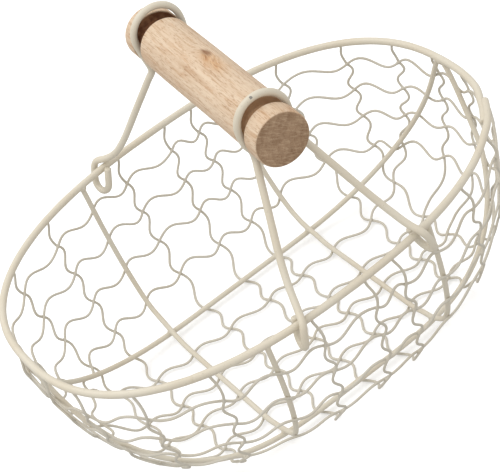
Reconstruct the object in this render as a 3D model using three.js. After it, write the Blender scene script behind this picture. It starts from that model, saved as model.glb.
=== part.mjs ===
// Egg collection basket: a boat-shaped basket of powder-coated wire with a turned wooden grip.
// Units are millimetres. X runs along the length, -Y is the front, Z is up, z = 0 is the floor.
import * as THREE from "three";

// ---- driving dimensions ----
const RIM_HALF_LENGTH = 150;
const RIM_HALF_WIDTH = 111;
const RIM_SQUARENESS = 2.4;
const RIM_Z = 106;
const RIM_WIRE = 4.4;
const RIB_WIRE = 3.2;
const BAIL_WIRE = 4.2;
const NET_WIRE = 1.6;
const GAP = 0.3;
// the bowl: a flat floor out to FLOOR_SHARE of the rim's plan, then a rounded corner and a steep wall
const FLOOR_SHARE = 0.6;
const WALL_POWER = 2.12;
const CORNER_POWER = 2.36;
const WALL_TAPER = 0.134;
// layers outside the cross ribs: inner netting layer, outer netting layer
const INNER_NET = RIB_WIRE / 2 + GAP + NET_WIRE / 2;
const OUTER_NET = INNER_NET + NET_WIRE + GAP;
const BOWL_Z = OUTER_NET + (NET_WIRE / 2) * Math.cos(Math.PI / 4);
const WALL_HEIGHT = RIM_Z - BOWL_Z;
// ribs
const CROSS_RIBS = [
  { name: "cross_rib_left", x: -52, lean: 3 },
  { name: "cross_rib_right", x: 55, lean: 0 },
];
const LONG_RIB_FLOOR_Y = 66.5;
const LONG_RIB_END_Y = 1.9;
const LONG_RIB_BOW = 3.5;
const LONG_RIB_FULLNESS = 1.8;
const RIB_HOP = RIB_WIRE + GAP;
// netting: rings below the rim, strands across, strands along
const RING_DROPS = [21, 43, 65, 89];
const RING_RISE = { left: 3, leftFrom: 70, right: 8, rightFrom: 30, end: 130 };
const CROSS_STRAND_X = [-122, -86, -27, 9, 28, 86, 121];
const CROSS_STRAND_LEAN = [0, 2, 0, 7, 0, 0, 0];
const END_STRANDS_FROM = 100;
const END_STRAND_SHIFT = 19;
const LONG_STRAND_Y = [-40, -13, 13, 40];
const LONG_STRAND_SPREAD = 4;
const CROSS_WAVE = 2.2;
const RING_WAVE = 3;
const SAMPLES_PER_WAVE = 5;
// grip and its two bails
// the grip's axis runs level from the front to the back; places along it are measured from its middle point
const GRIP_RADIUS = 16.1;
const GRIP_MIDDLE = [14.55, -0.5];
const GRIP_TURN = Math.atan(9.1 / 131);
const GRIP_Z = 187.5;
const GRIP_ENDS = [-79.7, 78.9];
const FRONT_GROOVE = [-66.9, -58];
const BACK_GROOVE = [57.8, 68.8];
const GROOVE_RADIUS = 11;
const GRIP_EDGE = 1.5;
// the two arches: place along the grip, shift to the side, neck below the grip's axis and towards its middle
const FRONT_ARCH = { at: -63.3, shift: -1.1, neckDown: 13.4, neckIn: 0.6 };
const BACK_ARCH = { at: 64.6, shift: -0.1, neckDown: 14.4, neckIn: 0.6 };
const ARCH_RADIUS = 15.1;
const ARCH_LIFT = 4.6;
const SHOULDER = [14.5, -1.8];
const THROAT = [12.8, -7.5];
// the four legs, each bent by hand: foot along the rim, elbow and knee [inwards, upwards] from the rim,
// neck beside the grip, hook round the rim, the share of the leg's lean that the hook keeps
// and how far the hook turns away from the middle
const FRONT_LEGS = [
  { foot: -34, elbow: [17.5, 19.9], knee: [2.1, 6.9], neck: 12.9, out: 6, depth: 13.1, lean: 0.5, turn: 0.19 },
  { foot: 46.7, elbow: [14.5, 20.6], knee: [1.4, 7.6], neck: 12.9, out: 6.5, depth: 13.7, lean: 0.6, turn: 0.2 },
];
const BACK_LEGS = [
  { foot: -33.6, elbow: [16.9, 15.2], knee: [3.4, 6.6], neck: 12.6, out: 7, depth: 14.4, lean: 0.6, turn: 0.26 },
  { foot: 46, elbow: [16, 17], knee: [2.5, 7.2], neck: 12.6, out: 6.6, depth: 14, lean: 0.5, turn: 0.2 },
];
const HOOK_INNER = 5.2;
const HOOK_TIP = 1;
const KNEE_EASE = 0.9;
const LONGEST_STEP = 9;

// ---- materials ----
const cream = new THREE.MeshStandardMaterial({ color: 0xe6dfcb, roughness: 0.55 });
const creamNet = new THREE.MeshStandardMaterial({ color: 0xd9d1ba, roughness: 0.6 });
const wood = new THREE.MeshStandardMaterial({ color: 0xc99b6d, roughness: 0.75 });

const basket = new THREE.Group();
basket.name = "egg_collection_basket";

function add(name, geometry, material) {
  const mesh = new THREE.Mesh(geometry, material.clone());
  mesh.name = name;
  basket.add(mesh);
  return mesh;
}

// ---- the bowl surface ----
function rimReach(angle) {
  const c = Math.abs(Math.cos(angle) / RIM_HALF_LENGTH) ** RIM_SQUARENESS;
  const s = Math.abs(Math.sin(angle) / RIM_HALF_WIDTH) ** RIM_SQUARENESS;
  return (c + s) ** (-1 / RIM_SQUARENESS);
}

function rimY(x) {
  const share = Math.abs(x / RIM_HALF_LENGTH) ** RIM_SQUARENESS;
  return RIM_HALF_WIDTH * (1 - share) ** (1 / RIM_SQUARENESS);
}

// plan share of the rim at a height share h, from the floor (h = 0) to the rim (h = 1)
function planShare(h) {
  const bend = (1 - (1 - h) ** CORNER_POWER) ** (1 / WALL_POWER);
  return FLOOR_SHARE + (1 - FLOOR_SHARE) * ((1 - WALL_TAPER) * bend + WALL_TAPER * h);
}

function heightShare(share) {
  if (share <= FLOOR_SHARE) return 0;
  let low = 0;
  let high = 1;
  for (let i = 0; i < 40; i++) {
    const mid = (low + high) / 2;
    if (planShare(mid) < share) low = mid;
    else high = mid;
  }
  return (low + high) / 2;
}

function bowl(x, y) {
  const reach = rimReach(Math.atan2(y, x));
  const share = Math.min(1, Math.hypot(x, y) / reach);
  return new THREE.Vector3(x, y, BOWL_Z + WALL_HEIGHT * heightShare(share));
}

// outward normal of the bowl at a plan point, pointing down under the floor
function bowlNormal(x, y) {
  const angle = Math.atan2(y, x);
  const reach = rimReach(angle);
  const share = Math.min(1, Math.hypot(x, y) / reach);
  const h = heightShare(share);
  const step = 0.004;
  const a = Math.min(1 - step, Math.max(0, h - step / 2));
  const run = (planShare(a + step) - planShare(a)) * reach;
  const rise = step * WALL_HEIGHT;
  const near = rimReach(angle + 0.001);
  const far = rimReach(angle - 0.001);
  const dReach = (near - far) / 0.002;
  const out = new THREE.Vector3(Math.cos(angle), Math.sin(angle), 0);
  const side = new THREE.Vector3(-Math.sin(angle), Math.cos(angle), 0);
  const plan = out.multiplyScalar(reach).addScaledVector(side, -dReach).normalize();
  if (share <= FLOOR_SHARE) return new THREE.Vector3(0, 0, -1);
  const cosine = plan.x * Math.cos(angle) + plan.y * Math.sin(angle);
  const slope = run * cosine;
  return plan.multiplyScalar(rise).add(new THREE.Vector3(0, 0, -slope)).normalize();
}

// ---- wires ----
// A wire path given by points, with a side direction at each point that keeps the section facing out.
class WirePath extends THREE.Curve {
  constructor(points, sides, closed) {
    super();
    this.points = points;
    this.sides = sides;
    this.closed = closed;
  }

  getPoint(t) {
    const last = this.points.length - 1;
    const at = Math.min(last, Math.max(0, t * last));
    const i = Math.min(last - 1, Math.floor(at));
    return this.points[i].clone().lerp(this.points[i + 1], at - i);
  }

  getPointAt(t) {
    return this.getPoint(t);
  }

  getSpacedPoints() {
    return this.points.map((p) => p.clone());
  }

  computeFrenetFrames() {
    const last = this.points.length - 1;
    const tangents = [];
    const normals = [];
    const binormals = [];
    this.points.forEach((p, i) => {
      const before = i > 0 ? this.points[i - 1] : this.closed ? this.points[last - 1] : p;
      const after = i < last ? this.points[i + 1] : this.closed ? this.points[1] : p;
      const tangent = after.clone().sub(before).normalize();
      const side = this.sides[i].clone();
      side.addScaledVector(tangent, -side.dot(tangent)).normalize();
      tangents.push(tangent);
      normals.push(side);
      binormals.push(tangent.clone().cross(side).normalize());
    });
    return { tangents, normals, binormals };
  }
}

function sectionShape(radius, sides) {
  const shape = new THREE.Shape();
  for (let i = 0; i < sides; i++) {
    const a = ((i + 0.5) / sides) * 2 * Math.PI;
    if (i === 0) shape.moveTo(radius * Math.cos(a), radius * Math.sin(a));
    else shape.lineTo(radius * Math.cos(a), radius * Math.sin(a));
  }
  shape.closePath();
  return shape;
}

function openWire(points, sides, diameter, facets) {
  const path = new WirePath(points, sides, false);
  const options = { steps: points.length - 1, extrudePath: path, bevelEnabled: false };
  return new THREE.ExtrudeGeometry(sectionShape(diameter / 2, facets), options);
}

function closedWire(points, sides, diameter, facets) {
  const ring = points.concat([points[0].clone()]);
  const path = new WirePath(ring, sides.concat([sides[0].clone()]), true);
  return new THREE.TubeGeometry(path, points.length, diameter / 2, facets, true);
}

function smoothStep(low, high, value) {
  const t = Math.min(1, Math.max(0, (value - low) / (high - low)));
  return t * t * (3 - 2 * t);
}

// ---- plan lines on the bowl ----
// a line from the back rim to the front rim near one x
function crossLine(x, shift, lean, count) {
  const line = [];
  const top = rimY(x);
  for (let i = 0; i <= count; i++) {
    const y = top * Math.cos((Math.PI * i) / count);
    const share = Math.hypot(x, y) / rimReach(Math.atan2(y, x));
    const down = 1 - heightShare(Math.min(1, share));
    line.push(new THREE.Vector2(x - (Math.sign(x) * shift + lean) * down, y));
  }
  return line;
}

// a line from the left rim to the right rim near one y, spreading a little towards its ends
function alongLine(y, spread, count) {
  const line = [];
  for (let i = 0; i <= count; i++) {
    const c = -Math.cos((Math.PI * i) / count);
    const yHere = y + Math.sign(y) * spread * c * c;
    const share = Math.abs((y + Math.sign(y) * spread) / RIM_HALF_WIDTH) ** RIM_SQUARENESS;
    const end = RIM_HALF_LENGTH * (1 - share) ** (1 / RIM_SQUARENESS);
    line.push(new THREE.Vector2(end * c, yHere));
  }
  return line;
}

// the long ribs bow outwards: both start at the end of the rim and follow the edge of the floor
function longRibY(x) {
  const share = Math.abs(x / RIM_HALF_LENGTH) ** LONG_RIB_BOW;
  return LONG_RIB_END_Y + (LONG_RIB_FLOOR_Y - LONG_RIB_END_Y) * (1 - share) ** (1 / LONG_RIB_FULLNESS);
}

function longRibLine(sign, count) {
  const line = [];
  for (let i = 0; i <= count; i++) {
    const x = -RIM_HALF_LENGTH * Math.cos((Math.PI * i) / count) * 0.9999;
    line.push(new THREE.Vector2(x, sign * longRibY(x)));
  }
  return line;
}

// a ring at one drop below the rim, measured down the wall; it rises a little towards both ends
function ringLine(middleDrop, count) {
  const line = [];
  for (let i = 0; i < count; i++) {
    const angle = (2 * Math.PI * i) / count;
    const plan = Math.atan2(Math.sin(angle) * RIM_HALF_WIDTH, Math.cos(angle) * RIM_HALF_LENGTH);
    const reach = rimReach(plan);
    const x = reach * Math.cos(plan);
    const left = RING_RISE.left * smoothStep(RING_RISE.leftFrom, RING_RISE.end, -x);
    const right = RING_RISE.right * smoothStep(RING_RISE.rightFrom, RING_RISE.end, x);
    const drop = middleDrop - left - right;
    let h = 1;
    let gone = 0;
    while (gone < drop && h > 0.002) {
      const next = h - 0.002;
      gone += Math.hypot((planShare(h) - planShare(next)) * reach, 0.002 * WALL_HEIGHT);
      h = next;
    }
    const share = planShare(h);
    line.push(new THREE.Vector2(share * reach * Math.cos(plan), share * reach * Math.sin(plan)));
  }
  return line;
}

// cut the ends of a line so that the wire stops at a height below the rim
function cutTop(points, sides, top) {
  const keep = points.map((p, i) => i).filter((i) => points[i].z <= top);
  return [keep.map((i) => points[i]), keep.map((i) => sides[i])];
}

function onBowl(plan, layer) {
  const points = [];
  const sides = [];
  plan.forEach((p) => {
    const normal = bowlNormal(p.x, p.y);
    const point = bowl(p.x, p.y);
    point.addScaledVector(normal, layer(point));
    points.push(point);
    sides.push(normal);
  });
  return [points, sides];
}

// where a line crosses the others, as places along its own points
function meetings(line, others) {
  const found = [];
  others.forEach((other) => {
    for (let i = 1; i < line.length; i++) {
      for (let j = 1; j < other.length; j++) {
        const a = line[i - 1];
        const b = line[i];
        const c = other[j - 1];
        const d = other[j];
        const det = (b.x - a.x) * (d.y - c.y) - (b.y - a.y) * (d.x - c.x);
        if (Math.abs(det) < 1e-9) continue;
        const s = ((c.x - a.x) * (d.y - c.y) - (c.y - a.y) * (d.x - c.x)) / det;
        const t = ((c.x - a.x) * (b.y - a.y) - (c.y - a.y) * (b.x - a.x)) / det;
        if (s >= 0 && s < 1 && t >= 0 && t < 1) found.push(i - 1 + s);
      }
    }
  });
  return found.sort((p, q) => p - q);
}

// sample a line between its meetings so that each mesh side carries one full wave
function waved(line, marks, wave, layer, closed) {
  const at = (k) => {
    const count = line.length - 1;
    const w = closed ? ((k % count) + count) % count : Math.min(count, Math.max(0, k));
    const i = Math.min(count - 1, Math.floor(w));
    return line[i].clone().lerp(line[i + 1], w - i);
  };
  const stops = closed ? marks.concat([marks[0] + line.length - 1]) : [0, ...marks, line.length - 1];
  const points = [];
  const sides = [];
  for (let m = 0; m + 1 < stops.length; m++) {
    const from = stops[m];
    const to = stops[m + 1];
    const short = !closed && (m === 0 || m + 2 === stops.length);
    for (let i = 0; i < SAMPLES_PER_WAVE; i++) {
      const t = i / SAMPLES_PER_WAVE;
      const p = at(from + (to - from) * t);
      points.push(p);
      sides.push(Math.sin(2 * Math.PI * t) * wave * (short ? 0.5 : 1));
    }
  }
  if (!closed) {
    points.push(at(stops[stops.length - 1]));
    sides.push(0);
  }
  const out = [];
  const normals = [];
  points.forEach((p, i) => {
    const base = bowl(p.x, p.y);
    const normal = bowlNormal(p.x, p.y);
    const before = points[i > 0 ? i - 1 : closed ? points.length - 1 : 0];
    const after = points[i + 1 < points.length ? i + 1 : closed ? 0 : i];
    const forward = bowl(after.x, after.y).sub(bowl(before.x, before.y)).normalize();
    const lateral = forward.clone().cross(normal).normalize();
    const moved = base.clone().addScaledVector(lateral, sides[i]);
    const reach = rimReach(Math.atan2(moved.y, moved.x));
    const share = Math.hypot(moved.x, moved.y) / reach;
    const onto = share < 0.93 ? bowl(moved.x, moved.y) : moved;
    const face = share < 0.93 ? bowlNormal(moved.x, moved.y) : normal;
    out.push(onto.addScaledVector(face, layer(onto)));
    normals.push(face);
  });
  return [out, normals];
}

// ---- rim ----
const rimPoints = [];
const rimSides = [];
for (let i = 0; i < 80; i++) {
  const a = (2 * Math.PI * i) / 80;
  const plan = Math.atan2(Math.sin(a) * RIM_HALF_WIDTH, Math.cos(a) * RIM_HALF_LENGTH);
  const reach = rimReach(plan);
  rimPoints.push(new THREE.Vector3(reach * Math.cos(plan), reach * Math.sin(plan), RIM_Z));
  rimSides.push(new THREE.Vector3(0, 0, 1));
}
add("rim", closedWire(rimPoints, rimSides, RIM_WIRE, 8), cream);

// ---- ribs ----
// the cross ribs lift over the long ribs where they meet
const UNDER_RIM = RIM_Z - RIM_WIRE / 2 - GAP - 0.2;
function overLongRib(p) {
  const away = Math.abs(Math.abs(p.y) - longRibY(p.x));
  return -RIB_HOP * (1 - smoothStep(6, 20, away));
}
CROSS_RIBS.forEach(({ name, x, lean }) => {
  const [points, sides] = onBowl(crossLine(x, 0, lean, 56), overLongRib);
  const [cut, cutSides] = cutTop(points, sides, UNDER_RIM);
  add(name, openWire(cut, cutSides, RIB_WIRE, 8), cream);
});
[["long_rib_front", -1], ["long_rib_back", 1]].forEach(([name, sign]) => {
  const [points, sides] = onBowl(longRibLine(sign, 72), () => 0);
  const [cut, cutSides] = cutTop(points, sides, UNDER_RIM);
  add(name, openWire(cut, cutSides, RIB_WIRE, 8), cream);
});

// ---- netting ----
const tuck = (p, full) => 0.9 + (full - 0.9) * smoothStep(3, 15, RIM_Z - p.z);
const outerLayer = (p) => tuck(p, OUTER_NET);
const innerLayer = () => INNER_NET;
const floorLayer = (p) => {
  const outer = smoothStep(106.5, 113, Math.abs(p.x));
  return tuck(p, INNER_NET + (OUTER_NET - INNER_NET) * outer);
};
const crossLines = CROSS_STRAND_X.map((x, i) => {
  const shift = Math.abs(x) > END_STRANDS_FROM ? END_STRAND_SHIFT : 0;
  return crossLine(x, shift, CROSS_STRAND_LEAN[i], 120);
});
const ribLines = CROSS_RIBS.map(({ x, lean }) => crossLine(x, 0, lean, 120));
const alongLines = LONG_STRAND_Y.map((y) => alongLine(y, LONG_STRAND_SPREAD, 120));
const ringLines = RING_DROPS.map((drop) => ringLine(drop, 180)).map((l) => l.concat([l[0].clone()]));
const longRibLines = [-1, 1].map((sign) => longRibLine(sign, 120));

ringLines.forEach((line, i) => {
  const marks = meetings(line, crossLines.concat(ribLines, alongLines));
  const [points, sides] = waved(line, marks, RING_WAVE, innerLayer, true);
  add("net_ring_" + (i + 1), closedWire(points, sides, NET_WIRE, 4), creamNet);
});
crossLines.forEach((line, i) => {
  const overRibs = Math.abs(CROSS_STRAND_X[i]) < END_STRANDS_FROM ? longRibLines : [];
  const marks = meetings(line, ringLines.concat(alongLines, overRibs));
  const [points, sides] = waved(line, marks, CROSS_WAVE, outerLayer, false);
  const [cut, cutSides] = cutTop(points, sides, UNDER_RIM);
  add("net_cross_" + (i + 1), openWire(cut, cutSides, NET_WIRE, 4), creamNet);
});
alongLines.forEach((line, i) => {
  const marks = meetings(line, ringLines.concat(crossLines, ribLines));
  const [points, sides] = waved(line, marks, RING_WAVE, floorLayer, false);
  const [cut, cutSides] = cutTop(points, sides, UNDER_RIM);
  add("net_long_" + (i + 1), openWire(cut, cutSides, NET_WIRE, 4), creamNet);
});

// ---- grip ----
const gripAxis = new THREE.Vector3(Math.sin(GRIP_TURN), Math.cos(GRIP_TURN), 0);
const gripAcross = new THREE.Vector3(Math.cos(GRIP_TURN), -Math.sin(GRIP_TURN), 0);
const gripMiddle = new THREE.Vector3(GRIP_MIDDLE[0], GRIP_MIDDLE[1], GRIP_Z);
const gripProfile = [
  [0, GRIP_ENDS[0]],
  [GRIP_RADIUS - GRIP_EDGE, GRIP_ENDS[0]],
  [GRIP_RADIUS, GRIP_ENDS[0] + GRIP_EDGE],
  [GRIP_RADIUS, FRONT_GROOVE[0]],
  [GROOVE_RADIUS, FRONT_GROOVE[0]],
  [GROOVE_RADIUS, FRONT_GROOVE[1]],
  [GRIP_RADIUS, FRONT_GROOVE[1]],
  [GRIP_RADIUS, BACK_GROOVE[0]],
  [GROOVE_RADIUS, BACK_GROOVE[0]],
  [GROOVE_RADIUS, BACK_GROOVE[1]],
  [GRIP_RADIUS, BACK_GROOVE[1]],
  [GRIP_RADIUS, GRIP_ENDS[1] - GRIP_EDGE],
  [GRIP_RADIUS - GRIP_EDGE, GRIP_ENDS[1]],
  [0, GRIP_ENDS[1]],
].map(([r, y]) => new THREE.Vector2(r, y));
const grip = add("grip", new THREE.LatheGeometry(gripProfile, 32), wood);
grip.quaternion.setFromUnitVectors(new THREE.Vector3(0, 1, 0), gripAxis);
grip.position.copy(gripMiddle);

// ---- bails ----
// each bail is one wire: hook, leg, arch over the grip, leg, hook
// a point by the grip at one arch: across the grip, up from its axis and inwards to its middle
function byGrip(arch, across, up, inwards) {
  const along = arch.at - Math.sign(arch.at) * inwards;
  const point = gripMiddle.clone().addScaledVector(gripAxis, along).addScaledVector(gripAcross, across);
  point.z += up;
  return point;
}

function bailLeg(out, leg, arch, side) {
  const rimAtFoot = out * rimY(leg.foot);
  const shoulder = byGrip(arch, arch.shift + side * SHOULDER[0], SHOULDER[1], 0);
  const throat = byGrip(arch, side * THROAT[0], THROAT[1], arch.neckIn / 2);
  const neck = byGrip(arch, side * leg.neck, -arch.neckDown, arch.neckIn);
  const lean = (neck.x - leg.foot) / (neck.z - RIM_Z);
  const at = (y, z) => {
    const rise = z - RIM_Z;
    const across = lean * rise * (rise < 0 ? leg.lean : 1);
    return new THREE.Vector3(leg.foot + across, rimAtFoot + out * y, z);
  };
  const turned = (y, z) => {
    const point = at(y, z);
    point.x += side * leg.turn * (y + HOOK_INNER);
    return point;
  };
  const elbow = at(-leg.elbow[0], RIM_Z + leg.elbow[1]);
  const knee = turned(-leg.knee[0], RIM_Z + leg.knee[1]);
  const hookRadius = (leg.out + HOOK_INNER) / 2;
  const hookMiddle = leg.out - hookRadius;
  const bottom = RIM_Z - leg.depth + hookRadius;
  const path = [];
  path.push(turned(-HOOK_INNER, RIM_Z + HOOK_TIP));
  path.push(turned(-HOOK_INNER, (RIM_Z + HOOK_TIP + bottom) / 2));
  for (let i = 0; i <= 6; i++) {
    const a = (Math.PI * i) / 6;
    path.push(turned(hookMiddle - hookRadius * Math.cos(a), bottom - hookRadius * Math.sin(a)));
  }
  path.push(turned(leg.out, RIM_Z - 1));
  path.push(turned(leg.out - KNEE_EASE, RIM_Z + leg.knee[1] * 0.4));
  path.push(knee);
  path.push(elbow.clone().lerp(knee, 0.3));
  path.push(elbow.clone().lerp(neck, 0.12));
  path.push(elbow.clone().lerp(neck, 0.55));
  path.push(elbow.clone().lerp(neck, 0.9));
  path.push(neck);
  path.push(throat);
  path.push(shoulder);
  return path;
}

function bail(name, out, legs, arch) {
  const left = bailLeg(out, legs[0], arch, -1);
  const right = bailLeg(out, legs[1], arch, 1);
  const bow = [];
  for (let i = 0; i <= 12; i++) {
    const a = Math.PI - (Math.PI * i) / 12;
    const up = ARCH_LIFT + Math.sin(a) * ARCH_RADIUS;
    bow.push(byGrip(arch, arch.shift + Math.cos(a) * ARCH_RADIUS, up, 0));
  }
  const controls = left.concat(bow, right.reverse());
  const curve = new THREE.CatmullRomCurve3(controls, false, "centripetal");
  const count = controls.length - 1;
  const points = [];
  for (let i = 0; i <= count; i++) {
    points.push(curve.getPoint(i / count));
    const far = i < count && controls[i].distanceTo(controls[i + 1]) > LONGEST_STEP;
    if (far) points.push(curve.getPoint((i + 0.5) / count));
  }
  const last = points.length - 1;
  const sides = [];
  let side = new THREE.Vector3(0, 1, 0);
  for (let i = 0; i <= last; i++) {
    const run = points[Math.min(last, i + 1)].clone().sub(points[Math.max(0, i - 1)]).normalize();
    side = side.clone().addScaledVector(run, -side.dot(run)).normalize();
    sides.push(side);
  }
  add(name, openWire(points, sides, BAIL_WIRE, 8), cream);
}
bail("bail_front", -1, FRONT_LEGS, FRONT_ARCH);
bail("bail_back", 1, BACK_LEGS, BACK_ARCH);

export default basket;
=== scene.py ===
"""Looks of the egg collection basket: coated wire, coated netting and a turned wooden grip.

Lengths are worked out in millimetres in the frame's own axes (X along, -Y front, Z up) and written in metres.
"""

import math

import bpy
import numpy as np
from mathutils import Matrix, Vector


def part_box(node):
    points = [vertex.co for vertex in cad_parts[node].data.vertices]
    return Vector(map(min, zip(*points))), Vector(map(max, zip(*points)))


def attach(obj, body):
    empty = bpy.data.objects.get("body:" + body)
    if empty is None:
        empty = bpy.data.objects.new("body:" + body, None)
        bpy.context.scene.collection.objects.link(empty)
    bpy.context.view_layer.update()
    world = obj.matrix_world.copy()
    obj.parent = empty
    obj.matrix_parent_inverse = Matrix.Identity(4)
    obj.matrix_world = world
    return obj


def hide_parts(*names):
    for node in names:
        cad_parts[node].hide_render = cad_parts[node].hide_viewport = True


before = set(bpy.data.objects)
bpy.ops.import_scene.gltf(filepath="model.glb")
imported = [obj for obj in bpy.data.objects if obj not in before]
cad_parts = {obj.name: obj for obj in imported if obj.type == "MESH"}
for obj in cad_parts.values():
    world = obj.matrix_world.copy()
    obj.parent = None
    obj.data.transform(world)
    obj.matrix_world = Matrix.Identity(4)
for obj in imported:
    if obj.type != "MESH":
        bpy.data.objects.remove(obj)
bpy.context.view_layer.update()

MM = 0.001

# ---- sizes read from the frame ----
rim_low, rim_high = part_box("rim")
grip_low, grip_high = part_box("grip")
RIM_WIRE = 4.4
RIM_HALF_LENGTH = (rim_high.x - rim_low.x) / MM / 2 - RIM_WIRE / 2
RIM_HALF_WIDTH = (rim_high.y - rim_low.y) / MM / 2 - RIM_WIRE / 2
RIM_Z = (rim_high.z + rim_low.z) / MM / 2
GRIP_Z = (grip_high.z + grip_low.z) / MM / 2

# ---- the bowl ----
RIM_SQUARENESS = 2.4
FLOOR_SHARE = 0.6
WALL_POWER = 2.12
CORNER_POWER = 2.36
WALL_TAPER = 0.134
BOWL_Z = 5.17
WALL_HEIGHT = RIM_Z - BOWL_Z

# ---- wires ----
RIB_WIRE = 3.2
BAIL_WIRE = 4.2
NET_WIRE = 1.6
RIB_LAYER = 0.5
INNER_NET = 2.9
OUTER_NET = 4.2
# name, place and step aside at the back rim of each rib across the basket
CROSS_RIBS = (("cross_rib_left", -55.0, 3.0), ("cross_rib_right", 55.0, -1.5))
LONG_RIB_FLOOR_Y = 66.5
LONG_RIB_END_Y = 1.9
LONG_RIB_BOW = 3.5
LONG_RIB_FULLNESS = 1.8
# how far the front rib's right end leans back against its neighbour, and over which part of its length
LONG_RIB_MEET = 5.0
MEET_FROM = 137
MEET_TO = 148
RIB_HOP = 3.1

# ---- netting ----
RING_DROPS = (21, 43, 65, 89)
# share of its drop by which a ring rises at each end
RING_RISE_LEFT = 0.08
RING_RISE_RIGHT = 0.18
RISE_FROM_LEFT = 70
RISE_FROM_RIGHT = 30
RISE_END = 130
CROSS_STRAND_X = (-122, -86, -27, 9, 28, 86, 121)
CROSS_STRAND_LEAN = (0, -2, 1.5, 7, 0, 1.5, 0)
# the netting sits askew: its strands drift along the basket from the front to the back
NET_DRIFT = 3.0
DRIFT_FROM = -50.0
DRIFT_TO = 80.0
END_STRANDS_FROM = 100
END_STRAND_SHIFT = 19
LONG_STRAND_Y = (-40, -12, 9, 40)
LONG_STRAND_SPREAD = 4
CROSS_WAVE = 2.6
RING_WAVE = 3.2
# the strands close in on the bowl just below the rim, and those along it step out at both ends of the floor
NET_TUCK = 0.9
TUCK_FROM = 3
TUCK_TO = 15
STEP_OUT_FROM = 106.5
STEP_OUT_TO = 113

# ---- grip and bails ----
# places along the grip's axis are measured from its middle point, front negative
GRIP_RADIUS = 16.1
GRIP_MIDDLE = (14.55, -0.5)
GRIP_TURN = math.atan(9.1 / 131)
GRIP_ENDS = (-79.7, 78.9)
FRONT_GROOVE = (-66.9, -58.0)
BACK_GROOVE = (57.8, 68.8)
GROOVE_RADIUS = 11.0
END_ROUNDING = 1.4
# the two arches: place along the grip, shift to the side, neck below the grip's axis and towards its middle
FRONT_ARCH = {"at": -63.3, "shift": -0.5, "neck_down": 13.4, "neck_in": 0.6}
BACK_ARCH = {"at": 64.6, "shift": 0.9, "neck_down": 14.4, "neck_in": 0.6}
ARCH_RADIUS = 15.2
ARCH_LIFT = 6.2
SHOULDER = (14.5, -1.8)
THROAT = (12.8, -7.5)
# the four legs, each bent by hand: foot along the rim, elbow and knee (inwards, upwards) from the rim,
# neck beside the grip, reach and depth of the hook, share of the leg's lean that the hook keeps,
# and how far the hook turns away from the middle
LEG_SIZES = ("foot", "elbow", "knee", "neck", "out", "depth", "lean", "turn")
FRONT_LEGS = (
    dict(zip(LEG_SIZES, (-34, (17.5, 19.9), (2.1, 6.9), 12.9, 6, 13.1, 0.5, 0.19))),
    dict(zip(LEG_SIZES, (46.7, (14.5, 20.6), (1.4, 7.6), 12.9, 6.5, 13.7, 0.6, 0.2))),
)
BACK_LEGS = (
    dict(zip(LEG_SIZES, (-33.6, (16.9, 15.2), (3.4, 6.6), 12.6, 7, 14.4, 0.6, 0.26))),
    dict(zip(LEG_SIZES, (46, (16, 17), (2.5, 7.2), 12.6, 6.6, 14, 0.5, 0.2))),
)
HOOK_INNER = 5.2
HOOK_TIP = 1.0
KNEE_EASE = 0.9
HOOK_STEPS = 6
ARCH_STEPS = 12


# ================= camera =================
CAMERA_PLACE = (-0.27371, -0.83756, 0.76494)
CAMERA_RIGHT = (0.781815, -0.525412, -0.335719)
CAMERA_UP = (0.574207, 0.396868, 0.716088)
CAMERA_LENS = 139.47


def make_camera():
    right = Vector(CAMERA_RIGHT).normalized()
    back = right.cross(Vector(CAMERA_UP)).normalized()
    up = back.cross(right)
    data = bpy.data.cameras.new("camera")
    data.sensor_width = 36.0
    data.lens = CAMERA_LENS
    data.clip_start = 0.05
    data.clip_end = 30.0
    camera = bpy.data.objects.new("camera", data)
    turn = Matrix((right, up, back)).transposed()
    camera.matrix_world = Matrix.Translation(Vector(CAMERA_PLACE)) @ turn.to_4x4()
    bpy.context.scene.collection.objects.link(camera)
    bpy.context.scene.camera = camera


# ================= the bowl surface =================
def rim_reach(angle):
    c = np.abs(np.cos(angle) / RIM_HALF_LENGTH) ** RIM_SQUARENESS
    s = np.abs(np.sin(angle) / RIM_HALF_WIDTH) ** RIM_SQUARENESS
    return (c + s) ** (-1 / RIM_SQUARENESS)


def rim_y(x):
    share = np.abs(x / RIM_HALF_LENGTH) ** RIM_SQUARENESS
    return RIM_HALF_WIDTH * (1 - share) ** (1 / RIM_SQUARENESS)


def plan_share(h):
    """Share of the rim's plan at height share h, from the floor (0) to the rim (1)."""
    bend = (1 - (1 - h) ** CORNER_POWER) ** (1 / WALL_POWER)
    return FLOOR_SHARE + (1 - FLOOR_SHARE) * ((1 - WALL_TAPER) * bend + WALL_TAPER * h)


HEIGHTS = np.linspace(0, 1, 2001) ** 1.6
SHARES = plan_share(HEIGHTS)


def height_share(share):
    return np.interp(share, SHARES, HEIGHTS)


def share_at(x, y):
    return np.minimum(1, np.hypot(x, y) / rim_reach(np.arctan2(y, x)))


def bowl(x, y):
    z = BOWL_Z + WALL_HEIGHT * height_share(share_at(x, y))
    return np.stack([x, y, z], axis=-1)


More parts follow.
